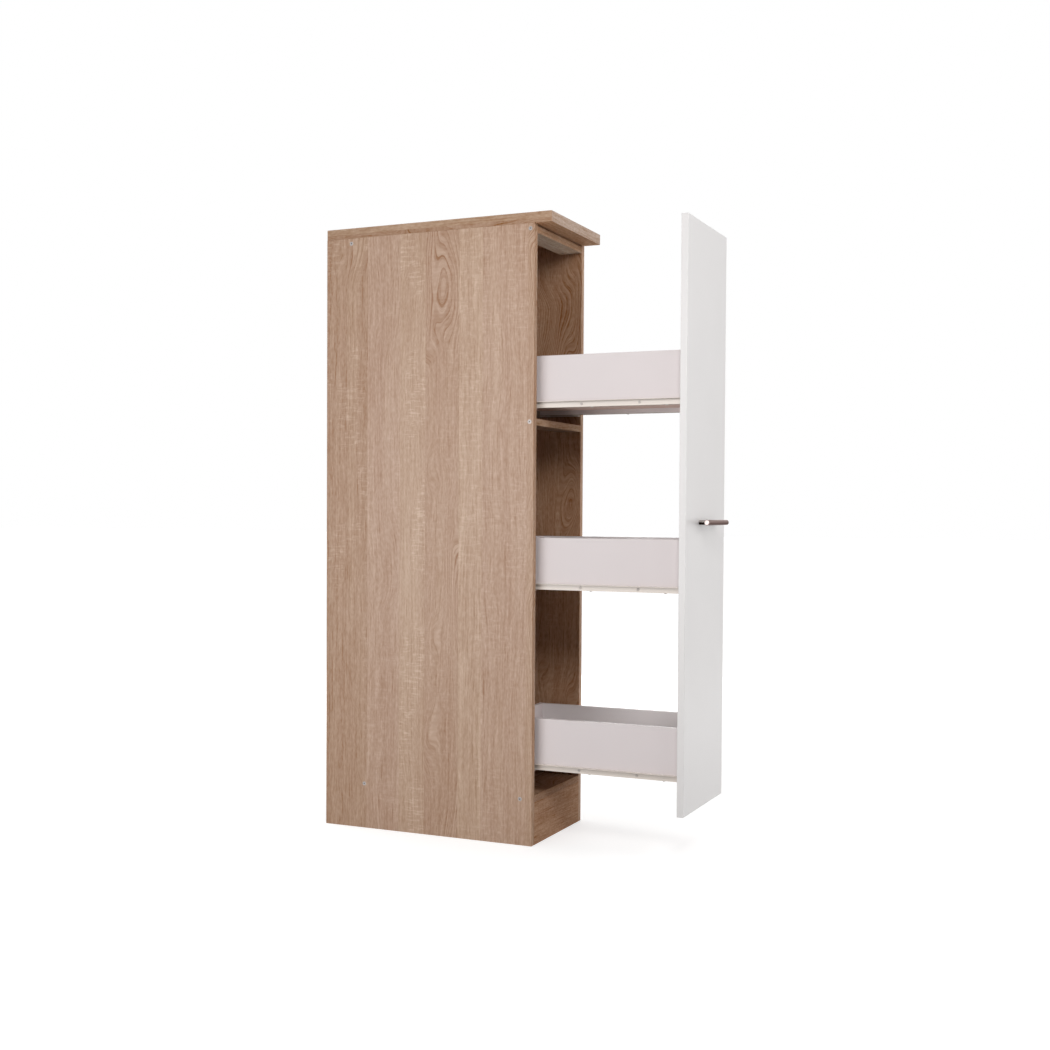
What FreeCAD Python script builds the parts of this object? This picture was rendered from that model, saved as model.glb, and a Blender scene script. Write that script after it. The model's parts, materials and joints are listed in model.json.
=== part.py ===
# Pull-out pantry cabinet: an oak-effect carcass under a worktop, and a tall white front that
# carries three trays on roller runners.  It is modelled pulled out to its stop.
# Millimetres, +Z up, the front faces -Y.  The origin is on the floor, under the middle of the plinth board.
import FreeCAD, Part
import math
import os
import re

import Sketcher

# Driving sizes: the sheet's alias, its value and what it measures
SIZES = (
    ("unit_width", 300, "outside width of the carcass"),
    ("carcass_depth", 558, "front edge to back edge of a side panel"),
    ("carcass_height", 1435, "floor to the underside of the worktop"),
    ("board", 16, "thickness of the carcass boards"),
    ("worktop_overhang", 42, "front edge of the worktop to the front edges of the side panels"),
    ("worktop_thickness", 25, "thickness of the worktop"),
    ("rail_depth", 59, "front to back size of a rail"),
    ("top_rail_gap", 4, "top edge of the top rails to the worktop"),
    ("plinth_height", 100, "floor to the underside of the bottom panel"),
    ("middle_rail_drop", 25, "top of the middle rail to the underside of the top tray's runners"),
    ("back_thickness", 3, "thickness of the back panel"),
    ("back_inset", 18, "back panel to the back edges of the side panels"),
    ("back_groove", 6, "depth of the back panel's grooves"),
    ("groove_play", 0.2, "room for a thin panel in its groove"),
    ("edge_radius", 1, "rounding of the edge bands"),
    ("door_thickness", 16, "thickness of the front"),
    ("door_side_gap", 2, "how far the front's edge stands in from the carcass side"),
    ("door_top_gap", 7, "top edge of the front to the worktop"),
    ("door_bottom_gap", 1, "plinth's top edge to the bottom edge of the front"),
    ("door_groove", 5, "depth of the tray bottoms' grooves in the front"),
    ("pull_travel", 349, "travel of the pull-out from its stop to shut"),
    ("closed_gap", 1, "front to carcass when shut"),
    ("tray_length", 450, "length of a tray's side boards and runners"),
    ("tray_height", 119, "height of a tray's side boards"),
    ("tray_board", 12, "thickness of a tray's boards"),
    ("tray_spacing", 420, "height from one tray to the next"),
    ("tray_floor_gap", 58, "bottom panel to the underside of the lowest tray's runners"),
    ("tray_bottom", 3, "thickness of a tray's bottom"),
    ("tray_bottom_rise", 10, "lower edge of a tray's side to its bottom"),
    ("tray_groove", 5, "depth of the grooves for a tray's bottom"),
    ("runner_space", 12.5, "side panel to the side of a tray"),
    ("runner_length", 450, "length of a cabinet runner"),
    ("runner_setback", 3, "front edge of a side panel to its runner"),
    ("runner_metal", 1.2, "thickness of the runners' steel"),
    ("channel_width", 10, "width of a cabinet runner's flanges"),
    ("channel_notch", 32, "length of top flange cut away at a cabinet runner's front end"),
    ("tray_runner_height", 14, "height of a tray runner"),
    ("running_flange", 7.5, "how far a tray runner's upper flange stands out"),
    ("foot_flange", 9, "how far a tray runner's lower flange reaches under the side board"),
    ("flange_gap", 0.8, "tray runner's upper flange to the channel above it"),
    ("roller_diameter", 14, "diameter of a roller"),
    ("roller_width", 6, "width of a roller"),
    ("roller_bevel", 0.6, "bevel on a roller's rims"),
    ("roller_gap", 0.2, "roller to the flange that it rolls on"),
    ("roller_floor_gap", 0.4, "cabinet runner's roller to the channel under it"),
    ("roller_side_gap", 0.5, "roller to the runner that carries it"),
    ("roller_inset_front", 12, "front end of a cabinet runner to its roller's axis"),
    ("roller_inset_rear", 15, "rear end of a tray runner to its roller's axis"),
    ("pin_diameter", 4, "diameter of a roller pin"),
    ("pin_head", 7, "diameter of a roller pin's head"),
    ("pin_head_height", 1, "height of a roller pin's head"),
    ("pin_end_play", 0.3, "roller to the head of its pin"),
    ("running_clearance", 0.05, "radial room for a roller on its pin"),
    ("drill_play", 0.05, "radial room for a fastener in its hole"),
    ("head_sink", 0.2, "depth of a countersunk head under the surface"),
    ("recess_width", 1, "width of a cross recess"),
    ("recess_depth", 0.9, "depth of a cross recess"),
    ("connecting_head", 10, "head diameter of a connecting screw"),
    ("connecting_cone", 3.5, "head height of a connecting screw"),
    ("connecting_shank", 6.4, "shank diameter of a connecting screw"),
    ("connecting_length", 50, "length of a connecting screw"),
    ("socket_width", 4, "hexagon socket of a connecting screw, corner to corner"),
    ("socket_depth", 2.5, "depth of that socket"),
    ("rail_screw_inset", 11, "front edge of a rail to its connecting screw"),
    ("floor_screw_front", 30, "front edge of the bottom panel to its first connecting screw"),
    ("floor_screw_back", 88, "back edge of the bottom panel to its last connecting screw"),
    ("dowel_diameter", 8, "diameter of a wooden dowel"),
    ("dowel_length", 30, "length of a wooden dowel"),
    ("dowel_cover", 4, "board left behind a dowel"),
    ("dowel_pitch", 22, "rail's connecting screw to its dowel"),
    ("plinth_dowel_inset", 60, "plinth's end to the dowel in its top edge"),
    ("worktop_head", 8, "head diameter of a worktop screw"),
    ("worktop_cone", 2.2, "head height of a worktop screw"),
    ("worktop_shank", 4, "shank diameter of a worktop screw"),
    ("worktop_cover", 10, "worktop left above its screws"),
    ("worktop_screw_side", 18, "side panel to a worktop screw"),
    ("worktop_screw_back", 15, "back edge of a rail to its worktop screws"),
    ("runner_screw_head", 6.5, "head diameter of a runner screw"),
    ("runner_screw_dome", 1.6, "head height of a runner screw"),
    ("runner_screw_shank", 3.5, "shank diameter of a runner screw"),
    ("screw_cover", 3, "board left behind a small screw"),
    ("cabinet_screw_first", 37, "front end of a cabinet runner to its first screw"),
    ("cabinet_screw_pitch", 176, "spacing of a cabinet runner's screws"),
    ("tray_screw_first", 103, "front end of a tray runner to its first screw"),
    ("tray_screw_pitch", 140, "spacing of a tray runner's screws"),
    ("foot_screw_first", 40, "front end of a tray runner to the first screw through its foot"),
    ("foot_screw_pitch", 179, "spacing of the screws through a tray runner's foot"),
    ("corner_screw_head", 7, "head diameter of a tray corner screw"),
    ("corner_screw_cone", 2, "head height of a tray corner screw"),
    ("corner_screw_length", 40, "length of a tray corner screw"),
    ("corner_screw_edge", 25, "edge of a tray's back to its corner screws"),
    ("bracket_metal", 1.5, "thickness of a front bracket"),
    ("bracket_leg", 25, "length of a front bracket's legs"),
    ("bracket_height", 20, "height of a front bracket"),
    ("bracket_rise", 45, "underside of a tray's runners to its front brackets"),
    ("bracket_screw_first", 9, "bend of a front bracket to its first screw"),
    ("bracket_screw_pitch", 9, "spacing of a front bracket's screws"),
    ("bracket_screw_head", 5.5, "head diameter of a bracket screw"),
    ("bracket_screw_dome", 1.4, "head height of a bracket screw"),
    ("bracket_screw_shank", 3, "shank diameter of a bracket screw"),
    ("handle_length", 156, "length of the handle's bar"),
    ("handle_spacing", 96, "spacing of the handle's posts"),
    ("handle_diameter", 12, "diameter of the handle's bar"),
    ("handle_bevel", 0.8, "bevel on the ends of the bar"),
    ("handle_reach", 26, "front's face to the axis of the bar"),
    ("handle_rise", 651, "bottom edge of the front to the handle"),
    ("post_diameter", 10, "diameter of a handle post"),
    ("handle_screw_head", 8, "head diameter of a handle screw"),
    ("handle_screw_dome", 2.5, "head height of a handle screw"),
    ("handle_screw_shank", 4, "shank diameter of a handle screw"),
    ("handle_screw_grip", 10, "length of a handle screw inside its post"),
)

# Places that several pieces share, worked out from the driving sizes
FRONT = "(-board / 2)"
BACK = f"({FRONT} + carcass_depth)"
INNER = "(unit_width / 2 - board)"
BACK_PANEL = f"({BACK} - back_inset - back_thickness)"
BACK_RAIL = f"({BACK_PANEL} - rail_depth)"
FLOOR_PANEL_TOP = "(plinth_height + board)"
TOP_RAIL = "(carcass_height - top_rail_gap - board)"
DOOR_BACK = f"({FRONT} - closed_gap - pull_travel)"
DOOR_FACE = f"({DOOR_BACK} - door_thickness)"
DOOR_BOTTOM = "(plinth_height + door_bottom_gap)"
DOOR_TOP = "(carcass_height - door_top_gap)"
TRAY_HALF = f"({INNER} - runner_space)"
TRAY_INNER = f"({TRAY_HALF} - tray_board)"
TRAY_REAR = f"({DOOR_BACK} + tray_length)"
HANDLE_AXIS_Y = f"({DOOR_FACE} - handle_reach)"
HANDLE_AXIS_Z = f"({DOOR_BOTTOM} + handle_rise)"

LEVELS = ("lower", "middle", "upper")
SIDES = (("left", -1), ("right", 1))
SCREWS_PER_RUNNER = 3
SCREWS_PER_FOOT = 2
SCREWS_PER_LEG = 2
EDGE_TOLERANCE = 0.01

UP = FreeCAD.Vector(0, 0, 1)
FORWARD = FreeCAD.Vector(0, -1, 0)

ALIASES = {alias for alias, value, note in SIZES}
nodes = {}

doc = FreeCAD.newDocument("PullOutPantryCabinet")
sheet = doc.addObject("Spreadsheet::Sheet", "Sizes")
for row, (alias, value, note) in enumerate(SIZES, start=1):
    sheet.set(f"A{row}", note)
    sheet.set(f"B{row}", str(value))
    sheet.setAlias(f"B{row}", alias)
doc.recompute()


def bound(text):
    """Point every size named in an expression at its cell of the sheet."""
    return re.sub(r"[a-z_]+", lambda word: f"Sizes.{word[0]}" if word[0] in ALIASES else word[0], text)


def bind(piece, **expressions):
    for name, text in expressions.items():
        piece.setExpression(name, bound(text))


def place(piece, at, axis=UP):
    """Turn a piece's own +Z to an axis and bind its place to the sheet."""
    piece.Placement.Rotation = FreeCAD.Rotation(UP, axis)
    for letter, text in zip("xyz", at):
        piece.setExpression(f"Placement.Base.{letter}", bound(text))


def node(label, piece):
    """Name a finished sub-part."""
    piece.Label = label
    nodes[label] = piece
    return piece


def inward(sign):
    """Direction from a side of the cabinet to its middle."""
    return FreeCAD.Vector(-sign, 0, 0)


def outward(sign):
    return FreeCAD.Vector(sign, 0, 0)


def level(index):
    """Underside of a tray's runners."""
    return f"({FLOOR_PANEL_TOP} + tray_floor_gap + {index} * tray_spacing)"


# Basic shapes
def block(name, size, middle_x, low_y, low_z):
    """A board, given its three sizes, the middle of its width and its low front edge."""
    box = doc.addObject("Part::Box", name)
    bind(box, Length=size[0], Width=size[1], Height=size[2])
    place(box, (f"{middle_x} - ({size[0]}) / 2", low_y, low_z))
    return box


def rounded(name, base, picks):
    """Round the edges of a board that a test of their middle and their direction picks."""
    doc.recompute()
    radius = sheet.get("edge_radius")
    box = base.Shape.BoundBox
    chosen = []
    for number, edge in enumerate(base.Shape.Edges, start=1):
        if picks(edge.CenterOfMass, edge.tangentAt(edge.FirstParameter), box):
            chosen.append((number, radius, radius))
    fillet = doc.addObject("Part::Fillet", name)
    fillet.Base = base
    fillet.Edges = chosen
    return fillet


def every_edge(middle, along, box):
    return True


def front_edges(middle, along, box):
    """The two long edges of a front face: upright ones on a side, level ones on a rail."""
    long_way = along.z if box.ZLength > box.XLength else along.x
    return abs(middle.y - box.YMin) < EDGE_TOLERANCE and abs(long_way) > 1 - EDGE_TOLERANCE


def top_edges(middle, along, box):
    """The two long edges of a board's top face."""
    long_way = along.y if box.YLength > box.XLength else along.x
    return abs(middle.z - box.ZMax) < EDGE_TOLERANCE and abs(long_way) > 1 - EDGE_TOLERANCE


def cut(name, base, tools):
    """Take a set of separate tools out of a piece."""
    tool = doc.addObject("Part::Compound", f"{name}_tools")
    tool.Links = tools
    result = doc.addObject("Part::Cut", name)
    result.Base = base
    result.Tool = tool
    return result


def outline(body, name, role, points):
    """A closed outline of straight edges, each corner bound to the sheet."""
    sketch = body.newObject("Sketcher::SketchObject", f"{name}_outline")
    plane = [feature for feature in body.Origin.OriginFeatures if feature.Role == role][0]
    sketch.AttachmentSupport = [(plane, "")]
    sketch.MapMode = "FlatFace"
    count = len(points)
    turn = 2 * math.pi / count
    start = [FreeCAD.Vector(math.cos(turn * i), math.sin(turn * i), 0) for i in range(count)]
    for i in range(count):
        sketch.addGeometry(Part.LineSegment(start[i], start[(i + 1) % count]))
    for i in range(count):
        sketch.addConstraint(Sketcher.Constraint("Coincident", i, 2, (i + 1) % count, 1))
    for i, corner in enumerate(points):
        for kind, value, text in zip(("DistanceX", "DistanceY"), start[i], corner):
            index = sketch.addConstraint(Sketcher.Constraint(kind, -1, 1, i, 1, value))
            sketch.setExpression(f"Constraints[{index}]", bound(text))
    return sketch


def drawn_along_y(name, points, low_y, length):
    """A section drawn in X and Z, run backwards from low_y."""
    body = doc.addObject("PartDesign::Body", name)
    sketch = outline(body, name, "XZ_Plane", points)
    sketch.setExpression("AttachmentOffset.Base.z", bound(f"-({low_y})"))
    pad = body.newObject("PartDesign::Pad", f"{name}_pad")
    pad.Profile = sketch
    pad.Reversed = True
    bind(pad, Length=length)
    return body


def drawn_up(name, points, low_z, height):
    """A section drawn in X and Y, run upwards from low_z."""
    body = doc.addObject("PartDesign::Body", name)
    sketch = outline(body, name, "XY_Plane", points)
    sketch.setExpression("AttachmentOffset.Base.z", bound(low_z))
    pad = body.newObject("PartDesign::Pad", f"{name}_pad")
    pad.Profile = sketch
    bind(pad, Length=height)
    return body


def turned(name, points):
    """A round piece about its own Z, from (radius, height) corners."""
    body = doc.addObject("PartDesign::Body", name)
    sketch = outline(body, name, "XZ_Plane", points)
    spin = body.newObject("PartDesign::Revolution", f"{name}_spin")
    spin.Profile = sketch
    spin.ReferenceAxis = (sketch, ["V_Axis"])
    spin.Angle = 360
    return body


def copies(name, master, places):
    """Copies of one piece, each at its place with its +Z along an axis."""
    links = []
    for number, (at, axis) in enumerate(places):
        link = doc.addObject("App::Link", f"{name}_{number}")
        link.LinkedObject = master
        place(link, at, axis)
        links.append(link)
    group = doc.addObject("Part::Compound", name)
    group.Links = links
    return group


# Fasteners: a master piece with its head at the origin, and the hole that it needs
def cross_recess(name, head, top_z):
    """Two crossed slots, half as long as a screw's head is wide, that reach down into it."""
    arm = f"{head} / 2"
    across = block(f"{name}_across", (arm, "recess_width", "recess_depth"), "0", "-recess_width / 2", top_z)
    along = block(f"{name}_along", ("recess_width", arm, "recess_depth"), "0", f"-{arm} / 2", top_z)
    cross = doc.addObject("Part::Fuse", f"{name}_cross")
    cross.Base = across
    cross.Tool = along
    return cross


def domed_screw(name, head, dome, shank, length):
    """A screw whose low head, bevelled half way down, stands on the surface at Z = 0."""
    body = turned(f"{name}_turned", [
        ("0", f"-{dome}"), (f"{head} / 2 - {dome} / 2", f"-{dome}"), (f"{head} / 2", f"-{dome} / 2"),
        (f"{head} / 2", "0"), (f"{shank} / 2", "0"), (f"{shank} / 2", f"{length} - {shank} / 2"),
        ("0", f"{length}"),
    ])
    return cut(name, body, [cross_recess(name, head, f"-{dome}")])


def countersunk_screw(name, head, cone, shank, length):
    """A screw whose flat head lies a little under the surface at Z = 0."""
    return turned(name, [
        ("0", "head_sink"), (f"{head} / 2", "head_sink"), (f"{shank} / 2", f"head_sink + {cone}"),
        (f"{shank} / 2", f"{length} - {shank} / 2"), ("0", f"{length}"),
    ])


def round_hole(name, diameter, length):
    """A plain hole for a shank or a dowel, from Z = 0."""
    hole = doc.addObject("Part::Cylinder", name)
    bind(hole, Radius=f"{diameter} / 2 + drill_play", Height=f"{length} + drill_play")
    return hole


def countersunk_hole(name, head, cone, shank, length):
    """A hole for a countersunk screw, open at the surface."""
    wide = f"{head} / 2 + drill_play"
    narrow = f"{shank} / 2 + drill_play"
    return turned(name, [
        ("0", "-head_sink"), (wide, "-head_sink"), (wide, "head_sink"), (narrow, f"head_sink + {cone}"),
        (narrow, f"{length} + drill_play"), ("0", f"{length} + drill_play"),
    ])


# Where the fasteners go
def rail_fronts():
    """Front edge and middle height of each rail."""
    middle_rail = f"({level(2)} - middle_rail_drop - board / 2)"
    top_rail = f"({TOP_RAIL} + board / 2)"
    return ((FRONT, top_rail), (BACK_RAIL, top_rail), (FRONT, middle_rail))


def connecting_screw_places():
    floor_panel = "(plinth_height + board / 2)"
    spots = [(f"{front} + rail_screw_inset", height) for front, height in rail_fronts()]
    spots.append((f"{FRONT} + floor_screw_front", floor_panel))
    spots.append((f"{BACK_PANEL} - floor_screw_back", floor_panel))
    for side, sign in SIDES:
        for y, z in spots:
            yield (f"{sign} * unit_width / 2", y, z), inward(sign)


def side_dowel_places():
    spots = [(f"{front} + rail_screw_inset + dowel_pitch", height) for front, height in rail_fronts()]
    spots.append((f"({FRONT} + {BACK_PANEL}) / 2", "(plinth_height + board / 2)"))
    spots.append(("0", "plinth_height / 2"))
    for side, sign in SIDES:
        for y, z in spots:
            yield (f"{sign} * (unit_width / 2 - dowel_cover)", y, z), inward(sign)


def plinth_dowel_places():
    """The dowels between the plinth board's top edge and the bottom panel."""
    for side, sign in SIDES:
        at = (f"{sign} * ({INNER} - plinth_dowel_inset)", "0", f"{FLOOR_PANEL_TOP} - dowel_cover")
        yield at, -UP


def worktop_screw_places():
    for front in (FRONT, BACK_RAIL):
        for side, sign in SIDES:
            y = f"{front} + rail_depth - worktop_screw_back"
            yield (f"{sign} * ({INNER} - worktop_screw_side)", y, TOP_RAIL), UP


def cabinet_runner_screw_places(index, sign):
    middle = f"({channel_floor(index)} + {channel_roof(index)}) / 2"
    for number in range(SCREWS_PER_RUNNER):
        y = f"{FRONT} + runner_setback + cabinet_screw_first + {number} * cabinet_screw_pitch"
        yield (f"{sign} * ({INNER} - runner_metal)", y, middle), outward(sign)


def tray_runner_screw_places(index, sign):
    """First the screws through the runner's web, then those that go up through its foot."""
    middle = f"{level(index)} + tray_runner_height / 2"
    for number in range(SCREWS_PER_RUNNER):
        y = f"{DOOR_BACK} + tray_screw_first + {number} * tray_screw_pitch"
        yield (f"{sign} * ({TRAY_HALF} + runner_metal)", y, middle), inward(sign)
    beside_groove = f"{sign} * ({TRAY_HALF} - (tray_board - tray_groove) / 2)"
    for number in range(SCREWS_PER_FOOT):
        y = f"{DOOR_BACK} + foot_screw_first + {number} * foot_screw_pitch"
        yield (beside_groove, y, level(index)), UP


def corner_screw_places(index, sign):
    for height in (f"{tray_back_low(index)} + corner_screw_edge", f"{tray_top(index)} - corner_screw_edge"):
        yield (f"{sign} * {TRAY_HALF}", f"{TRAY_REAR} - tray_board / 2", height), inward(sign)


def bracket_screw_places(index, sign):
    """First the screws into the tray's side, then those into the front."""
    height = f"{level(index)} + bracket_rise + bracket_height / 2"
    for number in range(SCREWS_PER_LEG):
        along = f"(bracket_screw_first + {number} * bracket_screw_pitch)"
        yield (f"{sign} * ({TRAY_INNER} - bracket_metal)", f"{DOOR_BACK} + {along}", height), outward(sign)
        yield (f"{sign} * ({TRAY_INNER} - {along})", f"{DOOR_BACK} + bracket_metal", height), FORWARD


def handle_screw_places():
    for side, sign in SIDES:
        yield (f"{sign} * handle_spacing / 2", DOOR_BACK, HANDLE_AXIS_Z), FORWARD


def everywhere(places):
    """The places on both sides of all three levels."""
    return [spot for index in range(len(LEVELS)) for side, sign in SIDES for spot in places(index, sign)]


# Heights of the runners and trays
def channel_floor(index):
    """Upper face of a cabinet runner's lower flange, where a tray's roller rolls."""
    return (f"({level(index)} + tray_runner_height - runner_metal - roller_gap"
            " - roller_diameter - roller_floor_gap)")


def channel_roof(index):
    """Under face of a cabinet runner's upper flange."""
    return f"({level(index)} + tray_runner_height + flange_gap)"


def tray_low(index):
    """Lower edge of a tray's side boards, on their runners."""
    return f"({level(index)} + runner_metal)"


def tray_top(index):
    return f"({tray_low(index)} + tray_height)"


def tray_bottom_low(index):
    return f"({tray_low(index)} + tray_bottom_rise)"


def tray_back_low(index):
    """Lower edge of a tray's back, on the tray's bottom."""
    return f"({tray_bottom_low(index)} + tray_bottom)"


# Masters of the fasteners, each with its hole
CONNECTING = ("connecting_head", "connecting_cone", "connecting_shank", "connecting_length")
WORKTOP_SCREW = "(board + top_rail_gap + worktop_thickness - worktop_cover)"
WORKTOP = ("worktop_head", "worktop_cone", "worktop_shank", WORKTOP_SCREW)
CORNER = ("corner_screw_head", "corner_screw_cone", "runner_screw_shank", "corner_screw_length")
CABINET_SCREW = "(runner_metal + board - screw_cover)"
TRAY_SCREW = "(runner_metal + tray_board - screw_cover)"
BRACKET_SCREW = "(bracket_metal + tray_board - screw_cover)"
HANDLE_SCREW = "(door_thickness + handle_screw_grip)"

socket = doc.addObject("Part::Prism", "connecting_screw_socket")
socket.Polygon = 6
bind(socket, Circumradius="socket_width / 2", Height="socket_depth + head_sink")
connecting_blank = countersunk_screw("connecting_screw_blank", *CONNECTING)
connecting_screw = cut("connecting_screw", connecting_blank, [socket])
connecting_hole = countersunk_hole("connecting_hole", *CONNECTING)

worktop_recess = cross_recess("worktop_screw", WORKTOP[0], "head_sink")
worktop_screw = cut("worktop_screw", countersunk_screw("worktop_screw_blank", *WORKTOP), [worktop_recess])
worktop_hole = countersunk_hole("worktop_hole", *WORKTOP)

corner_recess = cross_recess("corner_screw", CORNER[0], "head_sink")
corner_screw = cut("corner_screw", countersunk_screw("corner_screw_blank", *CORNER), [corner_recess])
corner_hole = countersunk_hole("corner_hole", *CORNER)

RUNNER_HEAD = ("runner_screw_head", "runner_screw_dome", "runner_screw_shank")
cabinet_screw = domed_screw("cabinet_screw", *RUNNER_HEAD, CABINET_SCREW)
cabinet_screw_hole = round_hole("cabinet_screw_hole", "runner_screw_shank", CABINET_SCREW)
tray_screw = domed_screw("tray_screw", *RUNNER_HEAD, TRAY_SCREW)
tray_screw_hole = round_hole("tray_screw_hole", "runner_screw_shank", TRAY_SCREW)

BRACKET_HEAD = ("bracket_screw_head", "bracket_screw_dome", "bracket_screw_shank")
bracket_screw = domed_screw("bracket_screw", *BRACKET_HEAD, BRACKET_SCREW)
bracket_screw_hole = round_hole("bracket_screw_hole", "bracket_screw_shank", BRACKET_SCREW)

HANDLE_HEAD = ("handle_screw_head", "handle_screw_dome", "handle_screw_shank")
handle_screw = domed_screw("handle_screw", *HANDLE_HEAD, HANDLE_SCREW)
handle_screw_hole = round_hole("handle_screw_hole", "handle_screw_shank", HANDLE_SCREW)

dowel = doc.addObject("Part::Cylinder", "dowel")
bind(dowel, Radius="dowel_diameter / 2", Height="dowel_length")
dowel_hole = round_hole("dowel_hole", "dowel_diameter", "dowel_length")

connecting_holes = copies("connecting_holes", connecting_hole, connecting_screw_places())
side_dowel_holes = copies("side_dowel_holes", dowel_hole, side_dowel_places())
plinth_dowel_holes = copies("plinth_dowel_holes", dowel_hole, plinth_dowel_places())
worktop_holes = copies("worktop_holes", worktop_hole, worktop_screw_places())
cabinet_screw_holes = copies(
    "cabinet_screw_holes", cabinet_screw_hole, everywhere(cabinet_runner_screw_places))
tray_screw_holes = copies("tray_screw_holes", tray_screw_hole, everywhere(tray_runner_screw_places))
corner_holes = copies("corner_holes", corner_hole, everywhere(corner_screw_places))
bracket_holes = copies("bracket_holes", bracket_screw_hole, everywhere(bracket_screw_places))
handle_holes = copies("handle_holes", handle_screw_hole, handle_screw_places())

# Carcass
SPAN = f"(2 * {INNER})"
for side, sign in SIDES:
    label = f"{side}_side_panel"
    middle = f"{sign} * (unit_width / 2 - board / 2)"
    panel = block(f"{label}_blank", ("board", "carcass_depth", "carcass_height"), middle, FRONT, "0")
    groove_middle = f"{sign} * ({INNER} + back_groove / 2)"
    groove_width = "back_thickness + groove_play"
    groove = block(
        f"{label}_groove", ("back_groove", groove_width, "carcass_height"), groove_middle, BACK_PANEL, "0")
    tools = [groove, connecting_holes, side_dowel_holes, cabinet_screw_holes]
    node(label, cut(label, rounded(f"{label}_rounded", panel, front_edges), tools))

worktop_size = ("unit_width", "carcass_depth + worktop_overhang", "worktop_thickness")
worktop_blank = block("worktop_blank", worktop_size, "0", f"{FRONT} - worktop_overhang", "carcass_height")
node("worktop", cut("worktop", rounded("worktop_rounded", worktop_blank, every_edge), [worktop_holes]))

MIDDLE_RAIL = f"({level(2)} - middle_rail_drop - board)"
RAILS = (
    ("top_front_rail", FRONT, TOP_RAIL),
    ("top_back_rail", BACK_RAIL, TOP_RAIL),
    ("middle_rail", FRONT, MIDDLE_RAIL),
)
for label, front, low in RAILS:
    rail = block(f"{label}_blank", (SPAN, "rail_depth", "board"), "0", front, low)
    tools = [connecting_holes, side_dowel_holes, worktop_holes]
    node(label, cut(label, rounded(f"{label}_rounded", rail, front_edges), tools))

floor_blank = block(
    "bottom_panel_blank", (SPAN, f"{BACK_PANEL} - {FRONT}", "board"), "0", FRONT, "plinth_height")
floor_tools = [connecting_holes, side_dowel_holes, plinth_dowel_holes]
node("bottom_panel", cut("bottom_panel", floor_blank, floor_tools))

plinth_blank = block("plinth_board_blank", (SPAN, "board", "plinth_height"), "0", FRONT, "0")
node("plinth_board", cut("plinth_board", plinth_blank, [side_dowel_holes, plinth_dowel_holes]))

back_width = f"{SPAN} + 2 * (back_groove - groove_play)"
back_size = (back_width, "back_thickness", "carcass_height - plinth_height")
node("back_panel", block("back_panel", back_size, "0", BACK_PANEL, "plinth_height"))

node("connecting_screws", copies("connecting_screws", connecting_screw, connecting_screw_places()))
dowel_places = list(side_dowel_places()) + list(plinth_dowel_places())
node("wooden_dowels", copies("wooden_dowels", dowel, dowel_places))
node("worktop_screws", copies("worktop_screws", worktop_screw, worktop_screw_places()))

# Rollers and their pins, each made once with its runner's face at Z = 0
PIN_LENGTH = "(runner_metal + roller_side_gap + roller_width + pin_end_play)"
roller_pin = turned("roller_pin", [
    ("0", "0"), ("pin_diameter / 2", "0"), ("pin_diameter / 2", PIN_LENGTH), ("pin_head / 2", PIN_LENGTH),
    ("pin_head / 2", f"{PIN_LENGTH} + pin_head_height"), ("0", f"{PIN_LENGTH} + pin_head_height"),
])
pin_hole = round_hole("pin_hole", "pin_diameter", "runner_metal")
ROLLER_BORE = "pin_diameter / 2 + running_clearance"


def front_roller_place(index, sign):
    """Roller pin of a cabinet runner: from the side panel towards the tray."""
    y = f"{FRONT} + runner_setback + roller_inset_front"
    z = f"{level(index)} + tray_runner_height - runner_metal - roller_gap - roller_diameter / 2"
    return (f"{sign} * {INNER}", y, z), inward(sign)


def rear_roller_place(index, sign):
    """Roller pin of a tray runner: from the tray towards the side panel."""
    z = f"{channel_floor(index)} + roller_gap + roller_diameter / 2"
    return (f"{sign} * {TRAY_HALF}", f"{TRAY_REAR} - roller_inset_rear", z), outward(sign)


def roller(label, spot):
    """A nylon roller with bevelled rims and a bore for its pin."""
    rim = "roller_diameter / 2"
    near = "runner_metal + roller_side_gap"
    far = f"{near} + roller_width"
    body = turned(label, [
        (ROLLER_BORE, near), (f"{rim} - roller_bevel", near), (rim, f"{near} + roller_bevel"),
        (rim, f"{far} - roller_bevel"), (f"{rim} - roller_bevel", far), (ROLLER_BORE, far),
    ])
    place(body, *spot)
    return node(label, body)


front_pin_holes = copies("front_pin_holes", pin_hole, everywhere(lambda i, s: [front_roller_place(i, s)]))
rear_pin_holes = copies("rear_pin_holes", pin_hole, everywhere(lambda i, s: [rear_roller_place(i, s)]))


# Runners
def cabinet_runner(index, side, sign):
    """A channel with its open side to the tray, its upper flange cut short at the front."""
    label = f"{LEVELS[index]}_{side}_cabinet_runner"
    low = channel_floor(index)
    high = channel_roof(index)
    wall = f"{sign} * {INNER}"
    inside = f"{sign} * ({INNER} - runner_metal)"
    lip = f"{sign} * ({INNER} - channel_width)"
    channel = drawn_along_y(f"{label}_channel", [
        (wall, f"{low} - runner_metal"), (lip, f"{low} - runner_metal"), (lip, low), (inside, low),
        (inside, high), (lip, high), (lip, f"{high} + runner_metal"), (wall, f"{high} + runner_metal"),
    ], f"{FRONT} + runner_setback", "runner_length")
    flange = "channel_width - runner_metal"
    notch = block(
        f"{label}_notch", (flange, "channel_notch", "runner_metal"),
        f"{sign} * ({INNER} - runner_metal - ({flange}) / 2)", f"{FRONT} + runner_setback", high)
    return node(label, cut(label, channel, [notch, cabinet_screw_holes, front_pin_holes]))


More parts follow.
